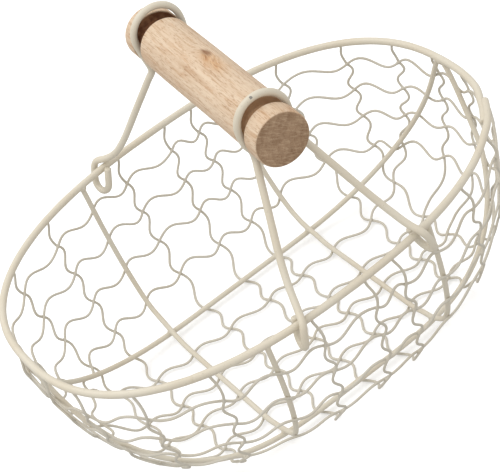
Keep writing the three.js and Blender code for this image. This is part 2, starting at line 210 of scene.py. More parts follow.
def bowl_normal(x, y):
    """Outward normal of the bowl, pointing down under the floor."""
    angle = np.arctan2(y, x)
    reach = rim_reach(angle)
    share = share_at(x, y)
    step = 0.004
    a = np.clip(height_share(share) - step / 2, 0, 1 - step)
    run = (plan_share(a + step) - plan_share(a)) * reach
    rise = step * WALL_HEIGHT
    swing = (rim_reach(angle + 0.001) - rim_reach(angle - 0.001)) / 0.002
    plan_x = reach * np.cos(angle) + swing * np.sin(angle)
    plan_y = reach * np.sin(angle) - swing * np.cos(angle)
    size = np.hypot(plan_x, plan_y)
    plan_x, plan_y = plan_x / size, plan_y / size
    slope = run * (plan_x * np.cos(angle) + plan_y * np.sin(angle))
    normal = np.stack([plan_x * rise, plan_y * rise, -slope], axis=-1)
    normal /= np.linalg.norm(normal, axis=-1, keepdims=True)
    flat = (share <= FLOOR_SHARE)[..., None]
    return np.where(flat, np.array([0.0, 0.0, -1.0]), normal)


def smooth_step(low, high, value):
    t = np.clip((value - low) / (high - low), 0, 1)
    return t * t * (3 - 2 * t)


# ================= wires =================
def run_length(points):
    gaps = np.linalg.norm(np.diff(points, axis=0), axis=1)
    return np.concatenate([[0], np.cumsum(gaps)])


def evenly(points, spacing, closed=False):
    """The same path with points about spacing apart."""
    if closed:
        points = np.vstack([points, points[:1]])
    run = run_length(points)
    count = max(4, int(round(run[-1] / spacing)))
    at = np.linspace(0, run[-1], count + 1)
    if closed:
        at = at[:-1]
    return np.stack([np.interp(at, run, points[:, k]) for k in range(3)], axis=1)


def smoothed(points, rounds, closed=False):
    for _ in range(rounds):
        if closed:
            before, after = np.roll(points, 1, axis=0), np.roll(points, -1, axis=0)
            points = (before + 2 * points + after) / 4
        else:
            inner = (points[:-2] + 2 * points[1:-1] + points[2:]) / 4
            points = np.vstack([points[:1], inner, points[-1:]])
    return points


def tangents_of(points, closed):
    if closed:
        t = np.roll(points, -1, axis=0) - np.roll(points, 1, axis=0)
    else:
        t = np.gradient(points, axis=0)
    return t / np.linalg.norm(t, axis=1, keepdims=True)


def frames_of(points, closed):
    """A side direction at each point that turns with the wire and doesn't twist."""
    t = tangents_of(points, closed)
    guess = np.array([0.0, 0.0, 1.0]) if abs(t[0, 2]) < 0.9 else np.array([1.0, 0.0, 0.0])
    side = guess - t[0] * guess.dot(t[0])
    sides = [side / np.linalg.norm(side)]
    for i in range(1, len(points)):
        s = sides[-1] - t[i] * sides[-1].dot(t[i])
        sides.append(s / np.linalg.norm(s))
    sides = np.array(sides)
    if closed:
        back = sides[-1] - t[0] * sides[-1].dot(t[0])
        back /= np.linalg.norm(back)
        twist = math.atan2(np.cross(back, sides[0]).dot(t[0]), back.dot(sides[0]))
        turn = twist * np.arange(len(points)) / len(points)
        across = np.cross(t, sides)
        sides = sides * np.cos(turn)[:, None] + across * np.sin(turn)[:, None]
    return t, sides


def coat_ripple(count, depth, seed):
    """A slow unevenness of the coat's thickness along a wire, as a factor of the radius."""
    draw = np.random.default_rng(seed)
    at = np.arange(count)
    ripple = np.zeros(count)
    for period in (11.0, 23.0, 47.0):
        ripple += np.sin(2 * np.pi * (at / period * draw.uniform(0.85, 1.15) + draw.random()))
    return 1 + depth * ripple / 3


def wire_mesh(points, radius, sides_around=12, closed=False, seed=1, depth=0.02, blunt=False):
    """Vertices (mm) and faces of one round wire. Open ends are rounded, or cut off square where blunt."""
    t, side = frames_of(points, closed)
    across = np.cross(t, side)
    angle = 2 * np.pi * np.arange(sides_around) / sides_around
    radii = np.broadcast_to(np.asarray(radius, float), (len(points),)) * coat_ripple(len(points), depth, seed)
    if closed:
        index = np.arange(len(points))
        fade = smooth_step(0, 20, np.minimum(index, len(points) - index))
        radii = radius + (radii - radius) * fade
    centres, reaches, ss, cs = [], [], [], []

    def ring(centre, r, i):
        centres.append(centre)
        reaches.append(r)
        ss.append(side[i])
        cs.append(across[i])

    steps = (0.86,) if blunt else (0.94, 0.8, 0.55)
    rises = (0.14,) if blunt else (0.34, 0.6, 0.84)
    last = len(points) - 1
    if not closed:
        for share, rise in zip(reversed(steps), reversed(rises)):
            ring(points[0] - t[0] * radii[0] * rise, radii[0] * share, 0)
    for i in range(len(points)):
        ring(points[i], radii[i], i)
    if not closed:
        for share, rise in zip(steps, rises):
            ring(points[last] + t[last] * radii[last] * rise, radii[last] * share, last)
    centres, reaches = np.array(centres), np.array(reaches)
    ss, cs = np.array(ss), np.array(cs)
    spread = ss[:, None] * np.cos(angle)[None, :, None] + cs[:, None] * np.sin(angle)[None, :, None]
    verts = (centres[:, None] + spread * reaches[:, None, None]).reshape(-1, 3)
    rings = len(centres)
    faces = []
    for i in range(rings if closed else rings - 1):
        a = i * sides_around
        b = ((i + 1) % rings) * sides_around
        for k in range(sides_around):
            n = (k + 1) % sides_around
            faces.append((a + k, a + n, b + n, b + k))
    if not closed:
        tip = 0.14 if blunt else 0.94
        start = points[0] - t[0] * radii[0] * tip
        end = points[last] + t[last] * radii[last] * tip
        verts = np.vstack([verts, start, end])
        first, second = len(verts) - 2, len(verts) - 1
        top = (rings - 1) * sides_around
        for k in range(sides_around):
            n = (k + 1) % sides_around
            faces.append((first, n, k))
            faces.append((second, top + k, top + n))
    return verts, faces


def join_meshes(parts):
    verts, faces, base = [], [], 0
    for v, f in parts:
        verts.append(v)
        faces.extend(tuple(i + base for i in face) for face in f)
        base += len(v)
    return np.vstack(verts), faces


def make_object(name, verts, faces, material):
    mesh = bpy.data.meshes.new(name)
    mesh.from_pydata((verts * MM).tolist(), [], faces)
    mesh.update()
    mesh.polygons.foreach_set("use_smooth", [True] * len(mesh.polygons))
    mesh.materials.append(material)
    piece = bpy.data.objects.new(name, mesh)
    bpy.context.scene.collection.objects.link(piece)
    return piece


def weld_blob(centre, axes, sizes, seed):
    """A small lump of weld and coat: an uneven ellipsoid with the given axes (rows) and half sizes."""
    rows, columns = 8, 12
    draw = np.random.default_rng(seed)
    phase = draw.uniform(0, 2 * np.pi, 3)

    def point(a, b):
        unit = np.array([np.sin(a) * np.cos(b), np.sin(a) * np.sin(b), np.cos(a)])
        lump = 1 + 0.06 * np.sin(3 * b + phase[0]) * np.sin(a) + 0.05 * np.sin(2 * a + phase[1])
        return centre + (unit * lump * sizes) @ axes

    around = 2 * np.pi * np.arange(columns) / columns
    verts = [point(0.0, 0.0)]
    verts += [point(np.pi * i / rows, b) for i in range(1, rows) for b in around]
    verts.append(point(np.pi, 0.0))
    last = len(verts) - 1
    faces = []
    for k in range(columns):
        n = (k + 1) % columns
        faces.append((0, 1 + k, 1 + n))
        faces.append((last, last - columns + n, last - columns + k))
        for i in range(rows - 2):
            a, b = 1 + i * columns, 1 + (i + 1) * columns
            faces.append((a + k, b + k, b + n, a + n))
    if np.linalg.det(axes) < 0:
        faces = [face[::-1] for face in faces]
    return np.array(verts), faces


# ================= materials =================
class Nodes:
    """A material's node tree, built one node at a time."""

    def __init__(self, name):
        self.material = bpy.data.materials.new(name)
        self.material.use_nodes = True
        self.tree = self.material.node_tree
        self.shader = self.tree.nodes["Principled BSDF"]

    def node(self, kind, settings=None, **inputs):
        made = self.tree.nodes.new(kind)
        for key, value in (settings or {}).items():
            setattr(made, key, value)
        for key, value in inputs.items():
            self.put(made.inputs[key.replace("_", " ")], value)
        return made

    def put(self, socket, value):
        if isinstance(value, bpy.types.NodeSocket):
            self.tree.links.new(value, socket)
        else:
            socket.default_value = value

    def math(self, operation, a, b=0.0, c=0.0):
        made = self.tree.nodes.new("ShaderNodeMath")
        made.operation = operation
        for socket, value in zip(made.inputs, (a, b, c)):
            self.put(socket, value)
        return made.outputs[0]

    def noise(self, place, scale, detail=3.0, rough=0.5, distortion=0.0):
        made = self.node("ShaderNodeTexNoise", None, Scale=scale, Detail=detail, Roughness=rough)
        made.inputs["Distortion"].default_value = distortion
        self.put(made.inputs["Vector"], place)
        return made.outputs["Fac"]

    def stretch(self, place, scale, shift=(0, 0, 0)):
        made = self.node("ShaderNodeMapping", None, Vector=place)
        made.inputs["Scale"].default_value = scale
        made.inputs["Location"].default_value = shift
        return made.outputs["Vector"]

    def turned(self, place, angle):
        made = self.node("ShaderNodeMapping", None, Vector=place)
        made.inputs["Rotation"].default_value = (0, 0, angle)
        return made.outputs["Vector"]

    def ramp(self, value, stops):
        made = self.tree.nodes.new("ShaderNodeValToRGB")
        elements = made.color_ramp.elements
        while len(elements) < len(stops):
            elements.new(0.5)
        for element, (at, colour) in zip(elements, stops):
            element.position = at
            element.color = (*colour, 1)
        self.put(made.inputs["Fac"], value)
        return made.outputs["Color"]

    def share(self, value, low, high):
        """0 below low and 1 above high, smooth between; falls where low is above high."""
        made = self.tree.nodes.new("ShaderNodeMapRange")
        made.interpolation_type = "SMOOTHSTEP"
        ends = (low, high, 0.0, 1.0) if low < high else (high, low, 1.0, 0.0)
        self.put(made.inputs["Value"], value)
        for key, end in zip(("From Min", "From Max", "To Min", "To Max"), ends):
            made.inputs[key].default_value = end
        return made.outputs["Result"]

    def mix(self, share, a, b, kind="MIX"):
        made = self.tree.nodes.new("ShaderNodeMix")
        made.data_type = "RGBA"
        made.blend_type = kind
        self.put(made.inputs[0], share)
        self.put(made.inputs[6], (*a, 1) if isinstance(a, tuple) else a)
        self.put(made.inputs[7], (*b, 1) if isinstance(b, tuple) else b)
        return made.outputs[2]

    def bump(self, height, distance, strength, under=None):
        made = self.node("ShaderNodeBump", None, Distance=distance, Strength=strength)
        self.put(made.inputs["Height"], height)
        if under is not None:
            self.put(made.inputs["Normal"], under)
        return made.outputs["Normal"]

    def place(self):
        return self.tree.nodes.new("ShaderNodeTexCoord").outputs["Object"]

    def apart(self, vector):
        made = self.node("ShaderNodeSeparateXYZ", None, Vector=vector)
        return made.outputs[0], made.outputs[1], made.outputs[2]


def coated_wire(name, light, warm, dull, roughness=0.42):
    """Cream powder coat: a faint orange peel, slow changes of tone, and dust in the speckles."""
    n = Nodes(name)
    place = n.place()
    slow = n.noise(place, 28.0, 3.0, 0.55)
    speck = n.noise(place, 900.0, 2.0, 0.6)
    tone = n.mix(n.share(slow, 0.35, 0.68), light, warm)
    tone = n.mix(n.share(speck, 0.62, 0.78), tone, dull)
    n.put(n.shader.inputs["Base Color"], tone)
    gloss = n.math("MULTIPLY_ADD", n.noise(place, 140.0, 2.0), 0.16, roughness - 0.08)
    n.put(n.shader.inputs["Roughness"], gloss)
    peel = n.bump(n.noise(place, 1500.0, 1.5), 0.00012, 0.28)
    drips = n.bump(n.noise(place, 210.0, 2.0), 0.0004, 0.16, peel)
    n.put(n.shader.inputs["Normal"], drips)
    n.shader.inputs["Coat Weight"].default_value = 0.08
    n.shader.inputs["Coat Roughness"].default_value = 0.3
    return n


def chipped(n, point, size, bare):
    """A small chip in the coat at one point, showing bare darker metal."""
    offset = n.node("ShaderNodeVectorMath", {"operation": "DISTANCE"})
    n.put(offset.inputs[0], n.place())
    offset.inputs[1].default_value = point
    ragged = n.math("MULTIPLY_ADD", n.noise(n.place(), 1400.0, 3.0), 0.0012, -0.0006)
    away = n.math("ADD", offset.outputs["Value"], ragged)
    share = n.share(away, size * 1.1, size * 0.8)
    old = n.shader.inputs["Base Color"].links[0].from_socket
    n.put(n.shader.inputs["Base Color"], n.mix(share, old, bare))
    n.put(n.shader.inputs["Metallic"], n.math("MULTIPLY", share, 0.3))


WOOD_BANDS = [
    (0.30, (0.560, 0.398, 0.262)),
    (0.46, (0.652, 0.500, 0.355)),
    (0.60, (0.695, 0.550, 0.402)),
    (0.74, (0.578, 0.422, 0.282)),
]
WOOD_ROSY = (0.94, 0.85, 0.78)
WOOD_STREAK = (0.84, 0.70, 0.58)
WOOD_LINE = (0.76, 0.66, 0.56)
WOOD_PORE = (0.62, 0.48, 0.38)
WOOD_PATCH = (0.88, 0.64, 0.40)
WOOD_KNOT = (0.230, 0.105, 0.045)
WOOD_BURN_FRONT = (0.360, 0.215, 0.115)
# the back groove's scorch, darkened further with painted shade
WOOD_BURN_AND_SHADE_BACK = (0.105, 0.034, 0.010)
WOOD_BURN_LIGHT = (0.300, 0.150, 0.070)
END_DARK = (0.290, 0.178, 0.100)
END_LIGHT = (0.420, 0.280, 0.172)
END_PALE = (0.560, 0.405, 0.268)
END_RING = (0.62, 0.55, 0.50)


def grip_wood(ends, knot):
    """Turned hardwood along local Z: growth rings about a pith outside the grip, short pores and one knot."""
    n = Nodes("grip_wood")
    place = n.place()
    x, y, z = n.apart(place)
    # distance from the knot, shorter across the grain than along it
    dx = n.math("MULTIPLY", n.math("SUBTRACT", x, knot[0]), 1.35)
    dy = n.math("MULTIPLY", n.math("SUBTRACT", y, knot[1]), 0.6)
    dz = n.math("MULTIPLY", n.math("SUBTRACT", z, knot[2]), 0.62)
    flat = n.math("ADD", n.math("MULTIPLY", dx, dx), n.math("MULTIPLY", dz, dz))
    away = n.math("SQRT", n.math("ADD", flat, n.math("MULTIPLY", dy, dy)))
    near = n.share(away, 0.011, 0.001)
    # the grain swings round the knot
    swing = n.node("ShaderNodeCombineXYZ", None)
    n.put(swing.inputs[0], n.math("MULTIPLY", near, 0.0035))
    bent = n.node("ShaderNodeVectorMath", {"operation": "ADD"})
    n.put(bent.inputs[0], place)
    n.put(bent.inputs[1], swing.outputs[0])
    bent = bent.outputs[0]
    slow = n.noise(n.stretch(bent, (38, 38, 9)), 1.0, 3.0, 0.5, 0.4)
    bands = n.noise(n.stretch(bent, (260, 260, 11)), 1.0, 4.0, 0.6, 0.3)
    streaks = n.noise(n.stretch(bent, (520, 520, 60), (5, 2, 1)), 1.0, 4.0, 0.7)
    lines = n.noise(n.stretch(bent, (1000, 1000, 50)), 1.0, 3.0, 0.62)
    pores = n.noise(n.stretch(bent, (1700, 1700, 240), (3, 1, 7)), 1.0, 2.0, 0.5)
    colour = n.ramp(bands, WOOD_BANDS)
    colour = n.mix(n.share(slow, 0.52, 0.72), colour, WOOD_ROSY, "MULTIPLY")
    colour = n.mix(n.math("MULTIPLY", n.share(streaks, 0.50, 0.68), 0.6), colour, WOOD_STREAK, "MULTIPLY")
    colour = n.mix(n.math("MULTIPLY", n.share(lines, 0.50, 0.68), 0.75), colour, WOOD_LINE, "MULTIPLY")
    colour = n.mix(n.math("MULTIPLY", n.share(pores, 0.55, 0.68), 0.6), colour, WOOD_PORE, "MULTIPLY")
    # knot and the redder patch beside it
    patch_z = n.math("ADD", z, -(knot[2] - 0.012))
    patch_x = n.math("SUBTRACT", x, knot[0] + 0.0015)
    px = n.math("MULTIPLY", patch_x, patch_x)
    pz = n.math("MULTIPLY", n.math("MULTIPLY", patch_z, patch_z), 0.12)
    patch = n.share(n.math("SQRT", n.math("ADD", px, pz)), 0.0078, 0.0010)
    patch = n.math("MULTIPLY", patch, n.share(y, 0.0, 0.008))
    torn = n.math("MULTIPLY_ADD", n.share(streaks, 0.35, 0.65), 0.6, 0.4)
    colour = n.mix(n.math("MULTIPLY", n.math("MULTIPLY", patch, torn), 0.85), colour, WOOD_PATCH, "MULTIPLY")
    ragged = n.math("ADD", away, n.math("MULTIPLY", n.math("SUBTRACT", lines, 0.5), 0.008))
    colour = n.mix(n.math("MULTIPLY", n.share(ragged, 0.0045, 0.0004), 0.85), colour, WOOD_KNOT)
    # scorched grooves; the back groove is darker still with painted shade
    radius = n.math("SQRT", n.math("ADD", n.math("MULTIPLY", x, x), n.math("MULTIPLY", y, y)))
    front_end = n.share(z, ends[0] + 0.00045, ends[0] + 0.00015)
    in_end = n.math("ADD", front_end, n.share(z, ends[1] - 0.00045, ends[1] - 0.00015))
    sunk = n.share(radius, GRIP_RADIUS * MM - 0.0002, GRIP_RADIUS * MM - 0.0016)
    groove_burn_and_shade = n.math("MULTIPLY", sunk, n.math("SUBTRACT", 1.0, in_end))
    # painted shade: the back groove gets the darker colour, the front groove keeps the scorch's own colour
    tone = n.mix(n.share(z, -0.01, 0.01), WOOD_BURN_FRONT, WOOD_BURN_AND_SHADE_BACK)
    scorch_and_shade = n.mix(n.share(n.noise(place, 260.0, 3.0), 0.4, 0.7), tone, n.mix(0.5, tone, WOOD_BURN_LIGHT))
    colour = n.mix(groove_burn_and_shade, colour, scorch_and_shade)
    # end grain: curved growth lines, blotches and pores seen end on
    cross = n.stretch(place, (1, 1, 0), (0.031, 0.012, 0))
    ring = n.node("ShaderNodeTexWave", {"wave_type": "RINGS", "rings_direction": "Z", "wave_profile": "SAW"})
    n.put(ring.inputs["Vector"], cross)
    ring.inputs["Scale"].default_value = 95.0
    ring.inputs["Distortion"].default_value = 5.0
    ring.inputs["Detail"].default_value = 3.0
    ring.inputs["Detail Scale"].default_value = 2.0
    blotch = n.noise(n.stretch(place, (1, 1, 0)), 130.0, 4.0, 0.6)
    dots = n.noise(n.stretch(place, (1, 1, 0)), 1500.0, 2.0, 0.5)
    saw = n.noise(n.stretch(n.turned(place, -0.6), (190, 900, 0), (2, 4, 0)), 1.0, 3.0, 0.6)
    grain = n.mix(n.share(blotch, 0.30, 0.72), END_DARK, END_LIGHT)
    grain = n.mix(n.math("MULTIPLY", n.share(saw, 0.46, 0.66), 0.5), grain, END_PALE)
    grain = n.mix(n.math("MULTIPLY", ring.outputs["Fac"], 0.30), grain, END_RING, "MULTIPLY")
    grain = n.mix(n.math("MULTIPLY", n.share(dots, 0.56, 0.7), 0.7), grain, WOOD_PORE, "MULTIPLY")
    colour = n.mix(in_end, colour, grain)
    n.put(n.shader.inputs["Base Color"], colour)
    n.put(n.shader.inputs["Roughness"], n.math("MULTIPLY_ADD", lines, 0.18, 0.60))
    n.shader.inputs["Specular IOR Level"].default_value = 0.3
    fine = n.bump(lines, 0.00022, 0.35)
    fine = n.bump(n.math("SUBTRACT", 1.0, n.share(pores, 0.60, 0.70)), 0.00015, 0.35, fine)
    n.put(n.shader.inputs["Normal"], fine)
    return n.material


CREAM = ((0.660, 0.605, 0.492), (0.640, 0.570, 0.446), (0.520, 0.467, 0.365))
NET_CREAM = ((0.594, 0.553, 0.466), (0.567, 0.517, 0.420), (0.456, 0.413, 0.334))
CHIP_SIZE = 0.0009
CHIP_BARE = (0.25, 0.235, 0.205)
cream_coat = coated_wire("cream_coat", *CREAM)
net_coat = coated_wire("cream_net_coat", *NET_CREAM, 0.5)


# ================= plan lines on the bowl =================
def curve_places(count):
    return np.cos(np.pi * np.arange(count + 1) / count)


def cross_line(x, shift=0.0, lean=0.0, drift=0.0, aside=0.0, count=160):
    """A line from the back rim to the front rim near one x.

    shift and lean act below the rim, drift grows towards the back and aside moves the end at the back rim.
    """
    c = curve_places(count)
    y = np.where(c > 0, rim_y(x + drift + aside), rim_y(x)) * c
    moved = x + drift * smooth_step(DRIFT_FROM, DRIFT_TO, y)
    down = 1 - height_share(share_at(moved, y))
    side = np.where(y > 0, aside * (1 - down), 0)
    return np.stack([moved + side - (np.sign(x) * shift + lean) * down, y], axis=1)


def along_line(y, spread, count=160):
    """A line from the left rim to the right rim near one y, spreading towards its ends."""
    c = -curve_places(count)
    share = abs((y + np.sign(y) * spread) / RIM_HALF_WIDTH) ** RIM_SQUARENESS
    end = RIM_HALF_LENGTH * (1 - share) ** (1 / RIM_SQUARENESS)
    return np.stack([end * c, y + np.sign(y) * spread * c * c], axis=1)


def long_rib_y(x):
    share = np.abs(x / RIM_HALF_LENGTH) ** LONG_RIB_BOW
    return LONG_RIB_END_Y + (LONG_RIB_FLOOR_Y - LONG_RIB_END_Y) * (1 - share) ** (1 / LONG_RIB_FULLNESS)


def long_rib_line(sign, count=160):
    x = -RIM_HALF_LENGTH * curve_places(count) * 0.9999
    y = sign * long_rib_y(x)
    if sign < 0:
        y += LONG_RIB_MEET * smooth_step(MEET_FROM, MEET_TO, x)
    return np.stack([x, y], axis=1)


def ring_line(middle_drop, count=240):
    """A closed line at one drop below the rim, measured down the wall, rising towards both ends."""
    a = 2 * np.pi * np.arange(count) / count
    plan = np.arctan2(np.sin(a) * RIM_HALF_WIDTH, np.cos(a) * RIM_HALF_LENGTH)
    heights = HEIGHTS[::-1]
    rise = -np.diff(heights) * WALL_HEIGHT
    line = []
    for angle in plan:
        reach = rim_reach(angle)
        x = reach * np.cos(angle)
        left = RING_RISE_LEFT * smooth_step(RISE_FROM_LEFT, RISE_END, -x)
        right = RING_RISE_RIGHT * smooth_step(RISE_FROM_RIGHT, RISE_END, x)
        drop = middle_drop * (1 - (left + right))
        run = np.abs(np.diff(plan_share(heights))) * reach
        gone = np.concatenate([[0], np.cumsum(np.hypot(run, rise))])
        share = plan_share(np.interp(drop, gone, heights))
        line.append((share * reach * np.cos(angle), share * reach * np.sin(angle)))
    line.append(line[0])
    return np.array(line)


def crossings(line, others):
    """Where a line crosses the others, as places along its own points."""
    found = []
    a, b = line[:-1, None], line[1:, None]
    for other in others:
        c, d = other[None, :-1], other[None, 1:]
        ab, cd, ac = b - a, d - c, c - a
        det = ab[..., 0] * cd[..., 1] - ab[..., 1] * cd[..., 0]
        det = np.where(np.abs(det) < 1e-9, np.nan, det)
        s = (ac[..., 0] * cd[..., 1] - ac[..., 1] * cd[..., 0]) / det
        t = (ac[..., 0] * ab[..., 1] - ac[..., 1] * ab[..., 0]) / det
        hits = np.argwhere((s >= 0) & (s < 1) & (t >= 0) & (t < 1))
        found += [i + s[i, j] for i, j in hits]
    return sorted(found)


WAVE_SAMPLES = 18
# share of the plan up to which a waved strand is laid back on the bowl
LAID_BACK_TO = 0.93


def waved(line, marks, wave, layer, closed, seed):
    """The strand along a plan line, with one full wave on each side of a mesh, laid on the bowl's outside."""
    draw = np.random.default_rng(seed)
    count = len(line) - 1
    stops = marks + [marks[0] + count] if closed else [0.0] + marks + [float(count)]
    places, shifts = [], []
    for m in range(len(stops) - 1):
        part = np.arange(WAVE_SAMPLES) / WAVE_SAMPLES
        end_side = not closed and m in (0, len(stops) - 2)
        size = wave * draw.uniform(0.8, 1.2) * (0.5 if end_side else 1)
        skew = draw.uniform(-0.06, 0.06)
        places.append(stops[m] + (stops[m + 1] - stops[m]) * part)
        shifts.append(np.sin(2 * np.pi * (part + skew * np.sin(np.pi * part))) * size)
    if not closed:
        places.append([stops[-1]])
        shifts.append([0.0])
    places, shifts = np.concatenate(places), np.concatenate(shifts)
    if closed:
        places = places % count
    at = np.arange(count + 1)
    x, y = np.interp(places, at, line[:, 0]), np.interp(places, at, line[:, 1])
    base, normal = bowl(x, y), bowl_normal(x, y)
    lateral = np.cross(tangents_of(base, closed), normal)
    lateral /= np.linalg.norm(lateral, axis=1, keepdims=True)
    moved = base + lateral * shifts[:, None]
    low = (share_at(moved[:, 0], moved[:, 1]) < LAID_BACK_TO)[:, None]
    onto = np.where(low, bowl(moved[:, 0], moved[:, 1]), moved)
    face = np.where(low, bowl_normal(moved[:, 0], moved[:, 1]), normal)
    return onto + face * layer(onto)[:, None]


def on_bowl(line, layer):
    base = bowl(line[:, 0], line[:, 1])
    return base + bowl_normal(line[:, 0], line[:, 1]) * layer(base)[:, None]


def steady(depth):
    """A layer at one depth outside the bowl."""
    return lambda base: np.full(len(base), depth)


def below(points, top):
    return points[points[:, 2] <= top]


# ================= rim, ribs and netting =================
# plan angles of the two laps: front left, front right
LAPS = (math.radians(-132.5), math.radians(-24.5))
LAP_LENGTH = (13.0, 19.0)
LAP_EASE = 15.0
# how far each wire moves (outwards, upwards) at each lap: front wire, back wire
LAP_SHIFTS = (((0.7, 0.7), (-1.3, -1.3)), ((1.1, 0.5), (-1.2, -0.4)))
# half sizes of the lumps of weld: rib on rim, rib on rib, strand on strand
RIM_WELD = (2.6, 2.0, 3.0)
CROSSING_WELD = (2.2, 2.2, 1.9)
KNOT_WELD = (1.15, 1.15, 1.25)


def rim_points(start, end, count):
    """Points of the rim between two plan angles."""
    a = np.linspace(start, end, count)
    reach = rim_reach(a)
    z = np.full(count, RIM_Z)
    return np.stack([reach * np.cos(a), reach * np.sin(a), z], axis=1)


def rim_wire(start_lap, end_lap, which, seed):
    """One of the rim's two wires, from its end at one lap to its end at the other."""
    extra, count = 0.5, 900
    start, end = LAPS[start_lap], LAPS[end_lap]
    if end < start:
        end += 2 * math.pi
    line = rim_points(start - extra, end + extra, count)
    run = run_length(line)
    angles = np.linspace(start - extra, end + extra, count)
    first = np.interp(start, angles, run) - LAP_LENGTH[start_lap] / 2
    last = np.interp(end, angles, run) + LAP_LENGTH[end_lap] / 2
    keep = (run > first) & (run < last)
    line, run = line[keep], run[keep]
    along = tangents_of(line, False)
    out = np.stack([along[:, 1], -along[:, 0], np.zeros(len(along))], axis=1)
    for lap, from_end in ((start_lap, run - first), (end_lap, last - run)):
        near = 1 - smooth_step(LAP_LENGTH[lap], LAP_LENGTH[lap] + LAP_EASE, from_end)
        shift_out, shift_up = LAP_SHIFTS[lap][which]
        line = line + (out * shift_out + np.array([0, 0, shift_up])) * near[:, None]
    return wire_mesh(evenly(line, 1.4), RIM_WIRE / 2, 18, False, seed, 0.025, True)


def make_rim():
    """Two bent wires that lie side by side for a short way at each of the two laps."""
    parts = [rim_wire(0, 1, 0, 11), rim_wire(1, 0, 1, 12)]
    for lap, length, seed in zip(LAPS, LAP_LENGTH, (31, 32)):
        centre = rim_points(lap, lap, 1)[0]
        t = rim_points(lap - 0.01, lap + 0.01, 2)
        run = (t[1] - t[0]) / np.linalg.norm(t[1] - t[0])
        out = np.array([run[1], -run[0], 0])
        axes = np.array([run, out, [0, 0, 1]])
        parts.append(weld_blob(centre, axes, np.array([length * 0.45, 2.1, 2.1]), seed))
    piece = make_object("rim_wire", *join_meshes(parts), cream_coat.material)
    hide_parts("rim")
    return piece


def over_long_rib(base):
    away = np.abs(np.abs(base[:, 1]) - long_rib_y(base[:, 0]))
    return RIB_LAYER - RIB_HOP * (1 - smooth_step(5, 20, away))


def make_ribs():
    pieces = []
    top = RIM_Z - 0.6
    for name, x, aside in CROSS_RIBS:
        path = evenly(below(on_bowl(cross_line(x, aside=aside, count=600), over_long_rib), top), 1.6)
        parts = [wire_mesh(smoothed(path, 6), RIB_WIRE / 2, 16, False, 41 + len(pieces))]
        for end, inner in ((path[0], path[5]), (path[-1], path[-6])):
            parts.append(rib_weld(end, inner, 51 + len(pieces)))
        pieces.append((make_object(name + "_wire", *join_meshes(parts), cream_coat.material), name))
    for name, sign in (("long_rib_front", -1), ("long_rib_back", 1)):
        path = evenly(below(on_bowl(long_rib_line(sign, 900), steady(RIB_LAYER)), top), 1.6)
        parts = [wire_mesh(smoothed(path, 6), RIB_WIRE / 2, 16, False, 45 + len(pieces))]
        for end, inner in ((path[0], path[5]), (path[-1], path[-6])):
            parts.append(rib_weld(end, inner, 61 + len(pieces)))
        for _, x, _ in CROSS_RIBS:
            place = on_bowl(np.array([[x, sign * long_rib_y(x)]]), steady(-1.0))[0]
            parts.append(weld_blob(place, np.eye(3), np.array(CROSSING_WELD), 71 + len(pieces)))
        pieces.append((make_object(name + "_wire", *join_meshes(parts), cream_coat.material), name))
    for piece, name in pieces:
        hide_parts(name)
    return [piece for piece, name in pieces]


def rib_weld(end, inner, seed):
    """The lump where a rib is welded under and inside the rim."""
    up = (end - inner) / np.linalg.norm(end - inner)
    inward = np.array([-end[0], -end[1], 0.0])
    inward -= up * inward.dot(up)
    inward /= np.linalg.norm(inward)
    axes = np.array([np.cross(up, inward), inward, up])
    return weld_blob(end + inward * 0.9 - up * 0.4, axes, np.array(RIM_WELD), seed)


def netting_layers():
    def tuck(base, full):
        return NET_TUCK + (full - NET_TUCK) * smooth_step(TUCK_FROM, TUCK_TO, RIM_Z - base[:, 2])

    def outer(base):
        return tuck(base, OUTER_NET)

    def floor(base):
        step = smooth_step(STEP_OUT_FROM, STEP_OUT_TO, np.abs(base[:, 0]))
        return tuck(base, INNER_NET + (OUTER_NET - INNER_NET) * step)

    return outer, steady(INNER_NET), floor


def knots(strand_line, others, layer):
    """Places on the bowl where a strand is joined to the strands that it crosses."""
    at = np.array(crossings(strand_line, others))
    if not len(at):
        return []
    index = np.arange(len(strand_line))
    x, y = np.interp(at, index, strand_line[:, 0]), np.interp(at, index, strand_line[:, 1])
    base, normal = bowl(x, y), bowl_normal(x, y)
    places = base + normal * layer
    return list(zip(places, normal))


